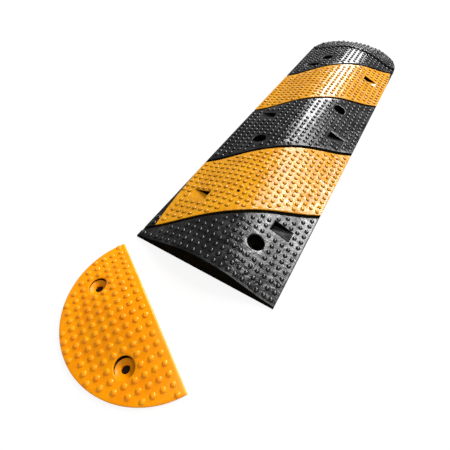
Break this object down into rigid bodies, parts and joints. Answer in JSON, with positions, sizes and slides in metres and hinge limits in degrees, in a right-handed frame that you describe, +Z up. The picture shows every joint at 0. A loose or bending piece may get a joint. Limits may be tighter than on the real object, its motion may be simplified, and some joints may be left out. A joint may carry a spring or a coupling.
{
  "type": "rubber speed bump",
  "caption": "Cambered rubber speed bump with diagonal yellow and black stripes, a studded tread, anchor holes, and half-round end caps, one seated and one lying loose.",
  "frame": {"origin": "centre of the module's underside, on the road", "axes": "+Z up; +Y along the bump, from the loose cap's end to the seated cap's end; +X across the bump, to the right of someone who looks along +Y"},
  "size_m": [0.329, 1.4046, 0.0438],
  "materials": {
    "black_rubber": "moulded black rubber, semi-matt, with small round studs",
    "yellow_stripe_rubber": "moulded amber-yellow rubber, satin, with small round studs",
    "yellow_cap_rubber": "moulded orange-yellow rubber, satin, with small round studs"
  },
  "bodies": {
    "module": {"module_body": "black_rubber", "near_stripe": "yellow_stripe_rubber", "far_stripe": "yellow_stripe_rubber"},
    "near_cap": {"near_end_cap": "yellow_cap_rubber"},
    "far_cap": {"far_end_cap": "black_rubber"}
  },
  "joints": [
    {"name": "near_cap_placing", "type": "hinge", "parent": "module", "child": "near_cap", "pos_m": [-0.201, -0.5005, 0], "axis": [0, 0, 1], "range_deg": [0, 31.7]},
    {"name": "far_cap_removal", "type": "slide", "parent": "module", "child": "far_cap", "axis": [0, 1, 0], "range_m": [0, 0.16]}
  ]
}
